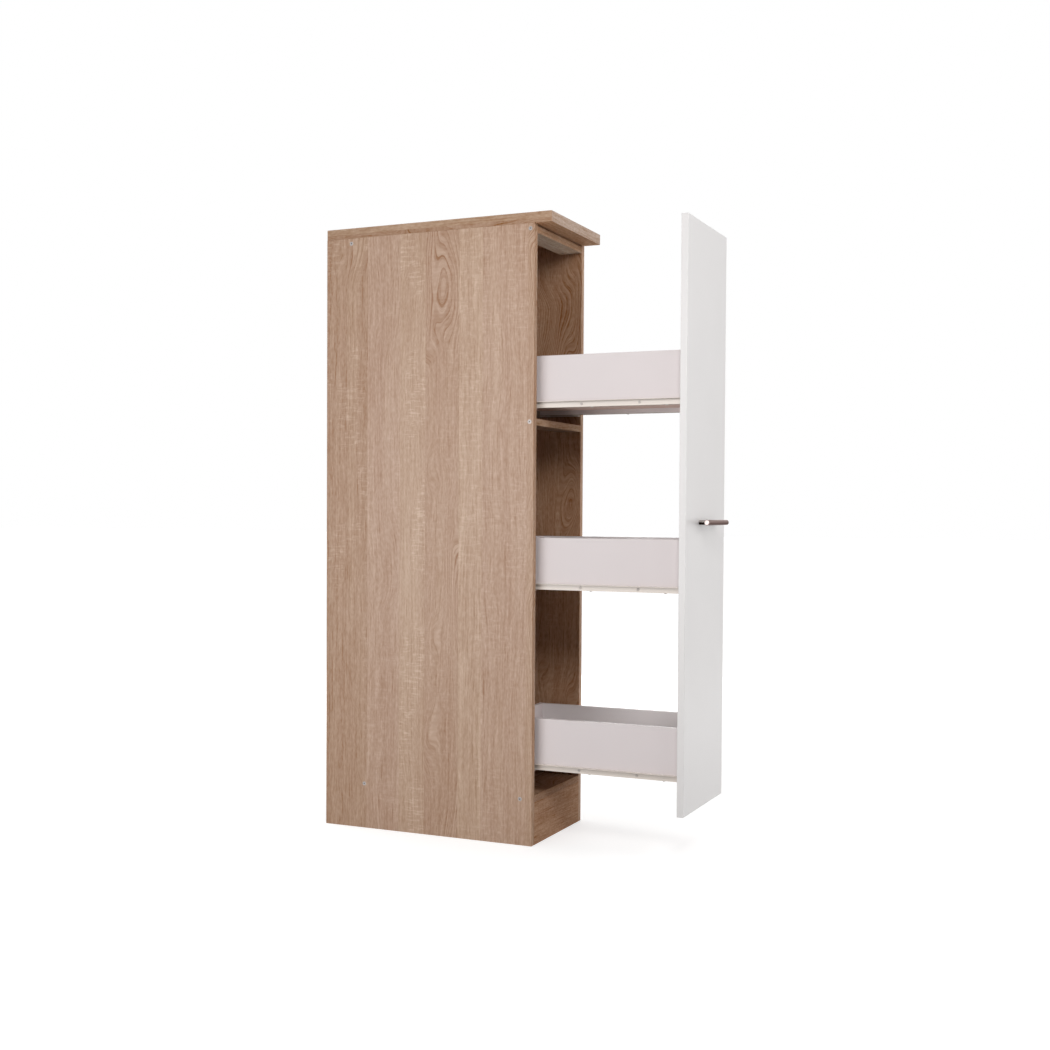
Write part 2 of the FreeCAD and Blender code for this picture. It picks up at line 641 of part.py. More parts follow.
def tray_runner(index, side, sign):
    """A strip along the lower edge of a tray's side, with a foot under it and a flange that rolls."""
    label = f"{LEVELS[index]}_{side}_tray_runner"
    low = level(index)
    high = f"{low} + tray_runner_height"
    face = f"{sign} * {TRAY_HALF}"
    outer = f"{sign} * ({TRAY_HALF} + runner_metal)"
    foot = f"{sign} * ({TRAY_HALF} - foot_flange)"
    tip = f"{sign} * ({TRAY_HALF} + runner_metal + running_flange)"
    strip = drawn_along_y(f"{label}_strip", [
        (outer, low), (foot, low), (foot, f"{low} + runner_metal"), (face, f"{low} + runner_metal"),
        (face, high), (tip, high), (tip, f"{high} - runner_metal"), (outer, f"{high} - runner_metal"),
    ], DOOR_BACK, "tray_length")
    return node(label, cut(label, strip, [tray_screw_holes, rear_pin_holes]))


for index, name in enumerate(LEVELS):
    for side, sign in SIDES:
        cabinet_runner(index, side, sign)
        tray_runner(index, side, sign)
        roller(f"{name}_{side}_front_roller", front_roller_place(index, sign))
        roller(f"{name}_{side}_rear_roller", rear_roller_place(index, sign))
node("cabinet_runner_screws", copies(
    "cabinet_runner_screws", cabinet_screw, everywhere(cabinet_runner_screw_places)))
node("tray_runner_screws", copies("tray_runner_screws", tray_screw, everywhere(tray_runner_screw_places)))
node("front_roller_pins", copies(
    "front_roller_pins", roller_pin, everywhere(lambda i, s: [front_roller_place(i, s)])))
node("rear_roller_pins", copies(
    "rear_roller_pins", roller_pin, everywhere(lambda i, s: [rear_roller_place(i, s)])))


# Trays
def tray_side(index, side, sign):
    label = f"{LEVELS[index]}_tray_{side}_side"
    blank = block(
        f"{label}_blank", ("tray_board", "tray_length", "tray_height"),
        f"{sign} * ({TRAY_HALF} - tray_board / 2)", DOOR_BACK, tray_low(index))
    groove = block(
        f"{label}_groove", ("tray_groove", "tray_length", "tray_bottom + groove_play"),
        f"{sign} * ({TRAY_INNER} + tray_groove / 2)", DOOR_BACK, tray_bottom_low(index))
    tools = [groove, tray_screw_holes, corner_holes, bracket_holes]
    return node(label, cut(label, rounded(f"{label}_rounded", blank, top_edges), tools))


def tray_back(index):
    label = f"{LEVELS[index]}_tray_back"
    size = (f"2 * {TRAY_INNER}", "tray_board", f"{tray_top(index)} - {tray_back_low(index)}")
    blank = block(f"{label}_blank", size, "0", f"{TRAY_REAR} - tray_board", tray_back_low(index))
    return node(label, cut(label, rounded(f"{label}_rounded", blank, top_edges), [corner_holes]))


def tray_floor(index):
    """A thin panel in the grooves of the sides and of the front, under the tray's back."""
    label = f"{LEVELS[index]}_tray_bottom"
    width = f"2 * ({TRAY_INNER} + tray_groove - groove_play)"
    tongue = "door_groove - groove_play"
    panel = block(
        label, (width, f"tray_length + {tongue}", "tray_bottom"),
        "0", f"{DOOR_BACK} - ({tongue})", tray_bottom_low(index))
    return node(label, panel)


def front_bracket(index, side, sign):
    """An angle inside the corner of a tray's side and the front."""
    corner = f"{sign} * {TRAY_INNER}"
    inside = f"{sign} * ({TRAY_INNER} - bracket_metal)"
    end = f"{sign} * ({TRAY_INNER} - bracket_leg)"
    angle = drawn_up(f"{LEVELS[index]}_{side}_angle", [
        (corner, DOOR_BACK), (end, DOOR_BACK), (end, f"{DOOR_BACK} + bracket_metal"),
        (inside, f"{DOOR_BACK} + bracket_metal"), (inside, f"{DOOR_BACK} + bracket_leg"),
        (corner, f"{DOOR_BACK} + bracket_leg"),
    ], f"{level(index)} + bracket_rise", "bracket_height")
    return cut(f"{LEVELS[index]}_{side}_bracket", angle, [bracket_holes])


brackets = []
for index in range(len(LEVELS)):
    for side, sign in SIDES:
        tray_side(index, side, sign)
        brackets.append(front_bracket(index, side, sign))
    tray_back(index)
    tray_floor(index)
bracket_group = doc.addObject("Part::Compound", "front_brackets")
bracket_group.Links = brackets
node("front_brackets", bracket_group)
node("bracket_screws", copies("bracket_screws", bracket_screw, everywhere(bracket_screw_places)))
node("tray_corner_screws", copies("tray_corner_screws", corner_screw, everywhere(corner_screw_places)))

# Front
door_size = ("unit_width - 2 * door_side_gap", "door_thickness", f"{DOOR_TOP} - {DOOR_BOTTOM}")
door_blank = block("front_panel_blank", door_size, "0", DOOR_FACE, DOOR_BOTTOM)
door_tools = [bracket_holes, handle_holes]
door_groove_size = (f"2 * ({TRAY_INNER} + tray_groove)", "door_groove", "tray_bottom + groove_play")
for index, name in enumerate(LEVELS):
    groove_low = tray_bottom_low(index)
    door_tools.append(block(
        f"front_panel_{name}_groove", door_groove_size, "0", f"{DOOR_BACK} - door_groove", groove_low))
node("front_panel", cut("front_panel", rounded("front_panel_rounded", door_blank, every_edge), door_tools))

# Handle: a round bar across two posts, screwed on from behind the front
bar_radius = "handle_diameter / 2"
bar_end = "handle_length / 2"
handle_bar = turned("handle_bar", [
    ("0", f"-{bar_end}"), (f"{bar_radius} - handle_bevel", f"-{bar_end}"),
    (bar_radius, f"-{bar_end} + handle_bevel"), (bar_radius, f"{bar_end} - handle_bevel"),
    (f"{bar_radius} - handle_bevel", bar_end), ("0", bar_end),
])
place(handle_bar, ("0", HANDLE_AXIS_Y, HANDLE_AXIS_Z), outward(1))
node("handle_bar", handle_bar)
post_places = []
for side, sign in SIDES:
    post_places.append(((f"{sign} * handle_spacing / 2", DOOR_FACE, HANDLE_AXIS_Z), FORWARD))
post_blank = doc.addObject("Part::Cylinder", "handle_post_blank")
bind(post_blank, Radius="post_diameter / 2", Height="handle_reach")
post_core = doc.addObject("Part::Cylinder", "handle_post_thread")
bind(post_core, Radius="handle_screw_shank / 2 + drill_play", Height="handle_screw_grip + drill_play")
saddle = doc.addObject("Part::Cylinder", "handle_post_saddle")
bind(saddle, Radius=bar_radius, Height="2 * post_diameter")
place(saddle, ("-post_diameter", "0", "handle_reach"), outward(1))
handle_post = cut("handle_post", post_blank, [post_core, saddle])
node("handle_posts", copies("handle_posts", handle_post, post_places))
node("handle_screws", copies("handle_screws", handle_screw, handle_screw_places()))

doc.recompute()


# Nothing is written unless every piece came out whole
for piece in doc.Objects:
    if "Invalid" in piece.State or "Error" in piece.State:
        raise RuntimeError(f"{piece.Label} failed to build: {piece.State}")
for label, piece in nodes.items():
    if piece.Shape.isNull() or not piece.Shape.isValid() or not piece.Shape.Solids:
        raise RuntimeError(f"{label} has no valid solid")

os.makedirs("parts", exist_ok=True)
for label, piece in nodes.items():
    piece.Shape.exportStep(f"parts/{label}.step")
print(len(nodes), "sub-parts,", sum(len(piece.Shape.Solids) for piece in nodes.values()), "solids")
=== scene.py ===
# Looks of the pull-out pantry cabinet: its finishes, the camera, the floor and the studio light.
import json

import bmesh
import bpy
from mathutils import Matrix, Vector


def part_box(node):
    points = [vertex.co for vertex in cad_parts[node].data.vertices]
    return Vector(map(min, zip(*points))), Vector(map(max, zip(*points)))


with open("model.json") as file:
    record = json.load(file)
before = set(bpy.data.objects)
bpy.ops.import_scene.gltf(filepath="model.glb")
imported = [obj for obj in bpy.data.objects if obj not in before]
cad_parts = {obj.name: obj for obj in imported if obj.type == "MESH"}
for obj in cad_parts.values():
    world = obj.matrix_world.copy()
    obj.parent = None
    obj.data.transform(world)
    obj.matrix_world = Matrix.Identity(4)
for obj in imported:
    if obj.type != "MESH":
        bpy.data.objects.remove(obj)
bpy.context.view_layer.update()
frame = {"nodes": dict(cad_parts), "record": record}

MM = 0.001
LEVELS = ("lower", "middle", "upper")
WHITE = (1.0, 1.0, 1.0, 1.0)
ACROSS_X = (1.0, 0.0, 0.0)
AGAINST_X = (-1.0, 0.0, 0.0)
UPRIGHT = (0.0, 0.0, 1.0)
DOWN = (0.0, 0.0, -1.0)
FORWARDS = (0.0, -1.0, 0.0)

# Staves of the printed oak, from the back edge of the left side panel to its front and on:
# width in mm, then lightness, yellowness, flowing figure and saw marks, each from 0 to 1.
OAK_STAVES = (
    (112, 0.30, 0.65, 0.80, 0.70),
    (91, 0.62, 0.40, 0.20, 0.30),
    (72, 0.72, 0.70, 0.15, 1.00),
    (88, 0.36, 0.50, 1.00, 0.25),
    (62, 0.80, 0.75, 0.10, 0.50),
    (115, 0.58, 0.46, 0.15, 0.45),
    (96, 0.32, 0.60, 0.90, 0.20),
    (70, 0.68, 0.65, 0.20, 0.90),
    (104, 0.50, 0.38, 0.35, 0.30),
    (84, 0.74, 0.55, 0.10, 0.70),
    (118, 0.40, 0.45, 0.95, 0.30),
    (88, 0.60, 0.35, 0.25, 0.55),
)
DECOR_WIDTH = sum(stave[0] for stave in OAK_STAVES)

# Layers of the oak's grain: fineness across the grain and along it, then the noise's detail,
# roughness and distortion.
GRAIN_LAYERS = {
    "flow": (9.0, 2.4, 1.5, 0.40, 0.0),
    "flowing_patch": (6.0, 3.0, 1.0, 0.50, 0.0),
    "cloud": (11.0, 2.6, 2.0, 0.50, 0.0),
    "broad": (42.0, 1.0, 3.0, 0.55, 0.0),
    "narrow": (150.0, 2.0, 3.0, 0.60, 0.0),
    "thread": (190.0, 8.0, 2.0, 0.60, 0.0),
    "fibre": (230.0, 28.0, 2.0, 0.65, 0.0),
    "fleck": (300.0, 90.0, 1.0, 0.50, 0.0),
    "pores": (480.0, 10.0, 2.0, 0.60, 0.0),
    "sawn_patch": (16.0, 6.0, 2.0, 0.50, 0.0),
    "saw_lines": (32.0, 180.0, 2.0, 0.65, 0.15),
}
# Where the noise of a layer starts to show, and where it shows in full.
FLOWING_RANGE = (0.42, 0.64)
PORE_RANGE = (0.54, 0.70)
SAWN_PATCH_RANGE = (0.44, 0.58)
SAW_LINE_RANGE = (0.50, 0.64)
# The grain's sideways swing in metres, in straight and in flowing wood, and flowing wood's growth rings.
STRAIGHT_SWING = 0.015
FLOWING_SWING = 0.32
RINGS_PER_METRE = 95.0
RING_MEAN = 0.33
# How strongly the staves and each layer of the grain lighten or darken the oak.
STAVE_CONTRAST = 0.34
LAYER_CONTRAST = {"cloud": 0.26, "broad": 0.42, "narrow": 0.34, "thread": 0.50, "fibre": 0.44, "fleck": 0.55}
RING_CONTRAST = -0.44
PORE_CONTRAST = -0.28
SAW_CONTRAST = 0.32
SAW_BETWEEN_FIBRES = 0.4
# Dark and light tones of the oak, each from its pinker to its yellower staves.
OAK_DARK = ((132, 84, 46), (131, 88, 41))
OAK_LIGHT = ((197, 169, 152), (198, 171, 147))
HUE_SWING = 0.5
# Steps that give each stave noise of its own.
LIGHTNESS_SEED = 71.0
YELLOWNESS_SEED = 37.0
OAK_ROUGHNESS = 0.44
PORE_ROUGHNESS = 0.14
FIBRE_RELIEF = 0.8
OAK_RELIEF = 0.25
OAK_RELIEF_DEPTH = 0.15 * MM
SATIN_ROUGHNESS = 0.45

# Plain finishes: how strongly fine mottles and broad clouds change the tone, and the size of the clouds.
MOTTLE_CONTRAST = 0.8
CLOUD_CONTRAST = 0.9
CLOUDS_PER_METRE = 6.0

# How squarely a face looks along a direction, from where it starts to count to where it counts in full.
SQUARE_ON = (0.80, 0.95)
# The two fades below set where the painted shade on the handle bar's and posts' undersides starts and where
# it is full.
BAR_UNDERSIDE = (-0.5, 0.5)
POST_UNDERSIDE = (-0.7, 0.2)

# The studio's floor: its grey, its glow to the camera beside the cabinet, and where that turns to white.
FLOOR_SIZE = 40.0
FLOOR_GREY = (0.5, 0.5, 0.5, 1.0)
FLOOR_ROUGHNESS = 0.9
FLOOR_GLOW = 0.64
FLOOR_FADE = (0.7, 2.2)
AMBIENT_LIGHT = 0.02

# Soft lamps: place, aim, width and height in metres, and watts.
STUDIO_AIM = (-0.05, -0.05, 0.75)
WORKTOP_AIM = (0.1, 0.15, 1.0)
SOFTBOXES = {
    "left_softbox": ((-2.8, 1.1, 0.95), STUDIO_AIM, 2.2, 1.9, 43.0),
    "corner_softbox": ((-1.65, -1.0, 1.85), STUDIO_AIM, 0.6, 0.6, 16.0),
    "wide_front_softbox": ((0.4, -3.2, 1.6), STUDIO_AIM, 6.0, 3.2, 90.0),
    "top_softbox": ((0.4, 0.7, 3.2), WORKTOP_AIM, 1.8, 1.8, 20.0),
    "right_softbox": ((3.0, 0.9, 1.1), STUDIO_AIM, 1.8, 1.8, 32.0),
    "back_softbox": ((0.3, 3.4, 1.6), STUDIO_AIM, 2.0, 2.0, 55.0),
}

# The photograph's camera, with its lens in millimetres.
CAMERA_PLACE = (-3.00225, -1.29496, 0.7731)
CAMERA_FORWARD = (0.914169, 0.404531, -0.025502)
CAMERA_RIGHT = (0.404795, -0.914388, 0.005997)
LENS_LENGTH = 46.671
SENSOR_WIDTH = 36.0
LENS_SHIFT = (-0.01707, 0.02094)
SIGHT_END = 100.0


def paint(red, green, blue):
    """The linear colour of a paint chip given in 0 to 255 steps."""
    chips = []
    for step in (red, green, blue):
        share = step / 255
        chips.append(share / 12.92 if share <= 0.04045 else ((share + 0.055) / 1.055) ** 2.4)
    return (*chips, 1.0)


def put(tree, kind, sockets=None, **settings):
    """A shader node with its settings; a socket's value is a number, a colour or another node's output."""
    made = tree.nodes.new("ShaderNode" + kind)
    for key, value in settings.items():
        setattr(made, key, value)
    for key, value in (sockets or {}).items():
        if isinstance(value, bpy.types.NodeSocket):
            tree.links.new(value, made.inputs[key])
        else:
            made.inputs[key].default_value = value
    return made


def sums(tree, operation, first, second=0.0):
    """One step of arithmetic on values."""
    return put(tree, "Math", {0: first, 1: second}, operation=operation).outputs[0]


def swing(tree, value, amount):
    """A value around a half made into a swing around zero."""
    return sums(tree, "MULTIPLY", sums(tree, "SUBTRACT", value, 0.5), amount)


def along(tree, position, direction, start):
    """How far a position lies along a direction, from a starting offset."""
    dot = put(tree, "VectorMath", {0: position, 1: direction}, operation="DOT_PRODUCT")
    return sums(tree, "ADD", dot.outputs["Value"], start)


def blend(tree, factor, first, second, blend_type="MIX"):
    """Two colours mixed."""
    mix = put(tree, "Mix", {0: factor, 6: first, 7: second}, data_type="RGBA", blend_type=blend_type)
    return mix.outputs[2]


def noise(tree, vector, scale, detail, roughness, distortion=0.0):
    """A cloudy value from 0 to 1."""
    sockets = {
        "Vector": vector, "Scale": scale, "Detail": detail, "Roughness": roughness, "Distortion": distortion,
    }
    return put(tree, "TexNoise", sockets).outputs[0]


def between(tree, value, low, high):
    """0 below low, 1 above high, smooth in between."""
    sockets = {"Value": value, "From Min": low, "From Max": high}
    return put(tree, "MapRange", sockets, interpolation_type="SMOOTHSTEP").outputs[0]


def grain_layer(tree, layer, across, length, seed):
    """One layer of the grain, as fine across and along as its row says; the seed sets the staves apart."""
    fineness, run, detail, roughness, distortion = GRAIN_LAYERS[layer]
    sockets = {0: sums(tree, "MULTIPLY", across, fineness), 1: sums(tree, "MULTIPLY", length, run), 2: seed}
    vector = put(tree, "CombineXYZ", sockets).outputs[0]
    return noise(tree, vector, 1.0, detail, roughness, distortion)


def new_group(name, inputs, outputs):
    """An empty shader group with its sockets, its input node and its output node."""
    group = bpy.data.node_groups.new(name, "ShaderNodeTree")
    for socket, kind in inputs:
        group.interface.new_socket(socket, in_out="INPUT", socket_type="NodeSocket" + kind)
    for socket, kind in outputs:
        group.interface.new_socket(socket, in_out="OUTPUT", socket_type="NodeSocket" + kind)
    return group, group.nodes.new("NodeGroupInput"), group.nodes.new("NodeGroupOutput")


def stave_ramp(tree, share, columns):
    """Steps from stave to stave, with the given columns of the stave list as red, green and blue."""
    ramp = put(tree, "ValToRGB", {0: share})
    stops = ramp.color_ramp.elements
    ramp.color_ramp.interpolation = "CONSTANT"
    border = 0
    for number, stave in enumerate(OAK_STAVES):
        place = border / DECOR_WIDTH
        stop = stops[0] if number == 0 else stops.new(place)
        stop.position = place
        stop.color = (*[stave[column] for column in columns], 1.0)
        border += stave[0]
    stops[-1].color = (*[OAK_STAVES[-1][column] for column in columns], 1.0)
    return put(tree, "SeparateColor", {0: ramp.outputs["Color"]})


def oak_group():
    """Sawn oak decor: staves side by side, streaks, flowing figure, pores and light saw marks."""
    group, inside, outside = new_group(
        "sawn oak decor", (("Across", "Float"), ("Along", "Float")),
        (("Color", "Color"), ("Roughness", "Float"), ("Height", "Float")))
    across = inside.outputs["Across"]
    length = inside.outputs["Along"]
    share = sums(group, "FRACT", sums(group, "DIVIDE", across, DECOR_WIDTH * MM))
    lightness, yellowness, figure = stave_ramp(group, share, (1, 2, 3)).outputs
    saw_share = stave_ramp(group, share, (4, 1, 2)).outputs[0]
    seed = sums(group, "ADD", sums(group, "MULTIPLY", lightness, LIGHTNESS_SEED),
                sums(group, "MULTIPLY", yellowness, YELLOWNESS_SEED))

    flow = grain_layer(group, "flow", across, length, seed)
    flowing = between(group, grain_layer(group, "flowing_patch", across, length, seed), *FLOWING_RANGE)
    flowing = sums(group, "MULTIPLY", figure, flowing)
    reach = sums(group, "ADD", sums(group, "MULTIPLY", flowing, FLOWING_SWING), STRAIGHT_SWING)
    bent = sums(group, "ADD", across, swing(group, flow, reach))
    ring = sums(group, "FRACT", sums(group, "MULTIPLY", bent, RINGS_PER_METRE))
    ring = sums(group, "SUBTRACT", sums(group, "MULTIPLY", ring, ring), RING_MEAN)
    ring = sums(group, "MULTIPLY", ring, flowing)

    layers = {"cloud": grain_layer(group, "cloud", across, length, seed)}
    for layer in ("broad", "narrow", "thread", "fibre", "fleck"):
        layers[layer] = grain_layer(group, layer, bent, length, seed)
    pore_lines = between(group, grain_layer(group, "pores", bent, length, seed), *PORE_RANGE)
    sawn_patch = between(group, grain_layer(group, "sawn_patch", across, length, seed), *SAWN_PATCH_RANGE)
    saw_lines = between(group, grain_layer(group, "saw_lines", across, length, seed), *SAW_LINE_RANGE)
    saw = sums(group, "MULTIPLY", sums(group, "MULTIPLY", saw_lines, sawn_patch), saw_share)
    saw = sums(group, "MULTIPLY", saw, sums(group, "ADD", layers["fibre"], SAW_BETWEEN_FIBRES))

    tone = sums(group, "ADD", 0.5, swing(group, lightness, STAVE_CONTRAST))
    for layer, contrast in LAYER_CONTRAST.items():
        tone = sums(group, "ADD", tone, swing(group, layers[layer], contrast))
    for lines, contrast in ((ring, RING_CONTRAST), (pore_lines, PORE_CONTRAST), (saw, SAW_CONTRAST)):
        tone = sums(group, "ADD", tone, sums(group, "MULTIPLY", lines, contrast))
    hue = sums(group, "ADD", yellowness, swing(group, layers["broad"], HUE_SWING))
    dark = blend(group, hue, paint(*OAK_DARK[0]), paint(*OAK_DARK[1]))
    light = blend(group, hue, paint(*OAK_LIGHT[0]), paint(*OAK_LIGHT[1]))
    rough = sums(group, "ADD", OAK_ROUGHNESS, sums(group, "MULTIPLY", pore_lines, PORE_ROUGHNESS))
    height = sums(group, "SUBTRACT", swing(group, layers["fibre"], FIBRE_RELIEF), pore_lines)
    group.links.new(blend(group, tone, dark, light), outside.inputs["Color"])
    group.links.new(rough, outside.inputs["Roughness"])
    group.links.new(height, outside.inputs["Height"])
    return group


def mottle_group():
    """Fine unevenness of a sprayed, pressed or plated surface."""
    group, inside, outside = new_group(
        "fine mottle",
        (("Vector", "Vector"), ("Grain", "Float"), ("Light", "Color"), ("Dark", "Color"),
         ("Roughness", "Float"), ("Spread", "Float")),
        (("Color", "Color"), ("Roughness", "Float"), ("Height", "Float")))
    vector = inside.outputs["Vector"]
    fine = noise(group, vector, inside.outputs["Grain"], 2.0, 0.6)
    cloud = noise(group, vector, CLOUDS_PER_METRE, 2.0, 0.5)
    mottle = sums(group, "ADD", swing(group, fine, MOTTLE_CONTRAST), swing(group, cloud, CLOUD_CONTRAST))
    color = blend(group, sums(group, "ADD", 0.5, mottle), inside.outputs["Dark"], inside.outputs["Light"])
    rough = sums(group, "ADD", inside.outputs["Roughness"], swing(group, fine, inside.outputs["Spread"]))
    group.links.new(color, outside.inputs["Color"])
    group.links.new(rough, outside.inputs["Roughness"])
    group.links.new(fine, outside.inputs["Height"])
    return group


OAK = oak_group()
MOTTLE = mottle_group()


def new_finish(name, **fixed):
    """A material with its Principled shader; fixed values go straight on the shader's own sockets."""
    finish = bpy.data.materials.new(name)
    finish.use_nodes = True
    tree = finish.node_tree
    shader = tree.nodes["Principled BSDF"]
    for socket, value in fixed.items():
        shader.inputs[socket.replace("_", " ")].default_value = value
    return finish, tree, shader


def use_group(tree, shader, group, sockets, relief, depth):
    """A group's colour, roughness and height put on the shader."""
    effect = put(tree, "Group", sockets, node_tree=group)
    bump = put(tree, "Bump", {"Strength": relief, "Distance": depth, "Height": effect.outputs["Height"]})
    tree.links.new(effect.outputs["Color"], shader.inputs["Base Color"])
    tree.links.new(effect.outputs["Roughness"], shader.inputs["Roughness"])
    tree.links.new(bump.outputs["Normal"], shader.inputs["Normal"])


def faces_towards(tree, direction, fade=SQUARE_ON):
    """1 on faces that look along a direction, 0 on the others; fade sets how it changes round a curve."""
    facing = put(tree, "TexCoord").outputs["Normal"]
    dot = put(tree, "VectorMath", {0: facing, 1: direction}, operation="DOT_PRODUCT").outputs["Value"]
    return between(tree, dot, *fade)


def left_face(tree):
    """1 on faces that look left, 0 on the others."""
    return faces_towards(tree, AGAINST_X)


def right_face(tree):
    """1 on faces that look right, 0 on the others."""
    return faces_towards(tree, ACROSS_X)


def end_faces(tree):
    """1 on faces that look left or right, 0 on the others."""
    return sums(tree, "MAXIMUM", right_face(tree), left_face(tree))


def tint_faces(tree, shader, faces, tint, matt=None):
    """The masked faces get a tint over their colour and, where matt is given, that roughness."""
    color = shader.inputs["Base Color"].links[0].from_socket
    tree.links.new(blend(tree, faces, color, tint, "MULTIPLY"), shader.inputs["Base Color"])
    if matt is not None:
        rough = shader.inputs["Roughness"].links[0].from_socket
        mix = put(tree, "Mix", {0: faces, 2: rough, 3: matt})
        tree.links.new(mix.outputs[0], shader.inputs["Roughness"])


def turn_on_ends(tree, position):
    """On faces that look left or right the grain follows the edge band, so X and Y change places there."""
    end = sums(tree, "GREATER_THAN", end_faces(tree), 0.5)
    parts = put(tree, "SeparateXYZ", {0: position}).outputs
    turned = put(tree, "CombineXYZ", {0: parts[1], 1: parts[0], 2: parts[2]}).outputs[0]
    mix = put(tree, "Mix", {0: end, 4: position, 5: turned}, data_type="VECTOR")
    return mix.outputs[1]


def oak_finish(name, across, length, start, satin, sheen):
    """Oak decor with its grain along one direction; start shifts the board on the decor sheet.

    The faces that satin picks carry a satin top coat, and the others stay matt."""
    finish, tree, shader = new_finish(name, Specular_IOR_Level=sheen, Coat_Roughness=SATIN_ROUGHNESS)
    if satin:
        tree.links.new(satin(tree), shader.inputs["Coat Weight"])
    position = put(tree, "TexCoord").outputs["Object"]
    if length == ACROSS_X:
        position = turn_on_ends(tree, position)
    sockets = {
        "Across": along(tree, position, across, start[0]), "Along": along(tree, position, length, start[1]),
    }
    use_group(tree, shader, OAK, sockets, OAK_RELIEF, OAK_RELIEF_DEPTH)
    return finish, tree, shader


# Plain finishes: light and dark tone, mottles per metre, roughness, its spread, relief and its depth in mm.
PLAIN_FINISHES = {
    "white_front_melamine": (paint(227, 224, 223), paint(221, 218, 217), 1400.0, 0.34, 0.12, 0.06, 0.05),
    "tray_white_foil": (paint(221, 212, 212), paint(215, 206, 206), 900.0, 0.5, 0.1, 0.08, 0.05),
    "brown_hardboard": (paint(150, 116, 88), paint(112, 82, 60), 420.0, 0.8, 0.15, 0.3, 0.2),
    "beech_dowel": (paint(214, 182, 140), paint(188, 150, 108), 260.0, 0.65, 0.1, 0.2, 0.1),
    "roller_nylon": (paint(232, 229, 222), paint(222, 218, 210), 500.0, 0.42, 0.1, 0.05, 0.05),
    "zinc_plate": (paint(186, 185, 184), paint(166, 165, 165), 700.0, 0.38, 0.15, 0.08, 0.03),
    "dull_screw_zinc": (paint(148, 142, 139), paint(128, 123, 120), 900.0, 0.45, 0.15, 0.1, 0.03),
    "pale_runner_screw_zinc": (paint(204, 195, 189), paint(188, 179, 173), 900.0, 0.4, 0.12, 0.08, 0.03),
    "tray_bottom_lacquer": (paint(240, 236, 234), paint(232, 228, 225), 700.0, 0.45, 0.1, 0.1, 0.05),
    "cream_runner_coat": (paint(225, 215, 206), paint(217, 206, 196), 1600.0, 0.26, 0.10, 0.1, 0.04),
    "brushed_handle_steel": (paint(146, 132, 128), paint(134, 120, 116), 900.0, 0.34, 0.12, 0.08, 0.03),
    "post_steel_painted_shade": (paint(176, 168, 164), paint(156, 148, 144), 900.0, 0.34, 0.12, 0.08, 0.03),
}


def plain_finish(name, recipe=None, **fixed):
    """A plain-coloured finish with fine unevenness, from its own recipe or another finish's."""
    light, dark, mottles, rough, spread, relief, depth = PLAIN_FINISHES[recipe or name]
    finish, tree, shader = new_finish(name, **fixed)
    position = put(tree, "TexCoord").outputs["Object"]
    sockets = {
        "Vector": position, "Grain": mottles, "Light": light, "Dark": dark,
        "Roughness": rough, "Spread": spread,
    }
    use_group(tree, shader, MOTTLE, sockets, relief, depth * MM)
    return finish, tree, shader


def dress(node, finish):
    """A CAD node's own material slot gets the finish."""
    frame["nodes"][node].material_slots[0].material = finish


# Oak boards: directions across the grain and along it, start on the decor sheet in metres,
# the faces with a satin coat, and the sheen of the board itself.
back_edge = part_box("left_side_panel")[1].y
side_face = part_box("left_side_panel")[0].x
OAK_BOARDS = {
    "left_side_panel": ((1, -1, 0), UPRIGHT, (back_edge - side_face, 0.2), left_face, 0.1),
    "right_side_panel": ((1, 1, 0), UPRIGHT, (0.775, 2.3), right_face, 0.1),
    "worktop": ((0, 1, 1), ACROSS_X, (0.17, 4.1), None, 0.1),
    "top_front_rail": ((0, 1, 1), ACROSS_X, (0.123, 5.3), None, 0.0),
    "top_back_rail": ((0, 1, 1), ACROSS_X, (0.11, 6.7), None, 0.0),
    "middle_rail": ((0, 1, 1), ACROSS_X, (0.83, 7.9), None, 0.0),
    "bottom_panel": ((0, 1, 1), ACROSS_X, (0.44, 8.6), None, 0.0),
    "plinth_board": ((0, 1, 1), ACROSS_X, (0.438, 9.4), None, 0.0),
}
# Painted light: the top front rail and the plinth are lightened and warmed all over where the studio light
# leaves them darker.
PAINTED_LIGHT_BOARD_TINT = {
    "top_front_rail": (1.08, 1.07, 1.02, 1.0),
    "plinth_board": (1.13, 1.05, 0.97, 1.0),
}
# Front edges: partly the edge band's own lighter tone, partly painted sheen and light that lift the
# front-facing faces.
EDGE_BAND_AND_SHEEN_TINT = {
    "left_side_panel": (1.16, 1.17, 1.18, 1.0),
    "right_side_panel": (1.28, 1.32, 1.36, 1.0),
    "worktop": (1.2, 1.35, 1.52, 1.0),
}
# Painted light: the right panel's inner face is warmed and lightened as if lit by warm bounce light inside
# the cabinet.
INNER_FACE_PAINTED_LIGHT_TINT = {
    "right_side_panel": (1.14, 1.06, 0.97, 1.0),
}
